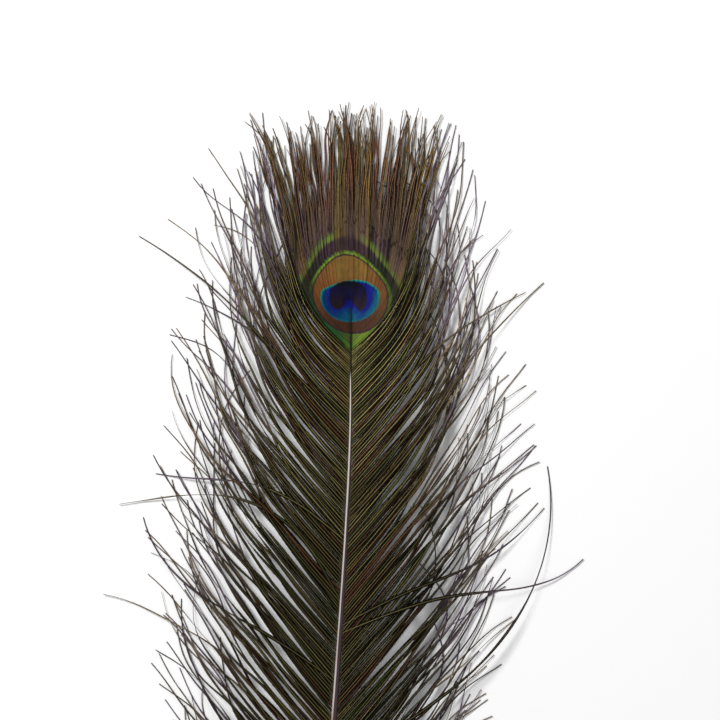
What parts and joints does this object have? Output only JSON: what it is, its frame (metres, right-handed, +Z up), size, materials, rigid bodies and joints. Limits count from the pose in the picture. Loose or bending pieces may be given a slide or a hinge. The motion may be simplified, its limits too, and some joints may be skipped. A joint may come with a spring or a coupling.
{
  "type": "peacock feather",
  "caption": "Loose peacock eye feather lying face up, with a bare quill, a closed eye vane with a fringe and loose curved barbs on both sides.",
  "frame": {"origin": "centre of the bounding box in plan, on the surface that the feather lies on", "axes": "+Y along the feather towards its fringe, +Z up out of its face, +X to the right seen from above"},
  "size_m": [0.234, 0.52, 0.0121],
  "materials": {
    "barb_vane": "dark bronze-brown barbs with a green and gold sheen",
    "eye_vane": "eye of indigo, turquoise, bronze and yellow-green rings, satin sheen along the barbs",
    "quill_horn": "cream-white horn with a darker right side, satin"
  },
  "bodies": {
    "root": {"feather": "barb_vane"}
  },
  "joints": []
}
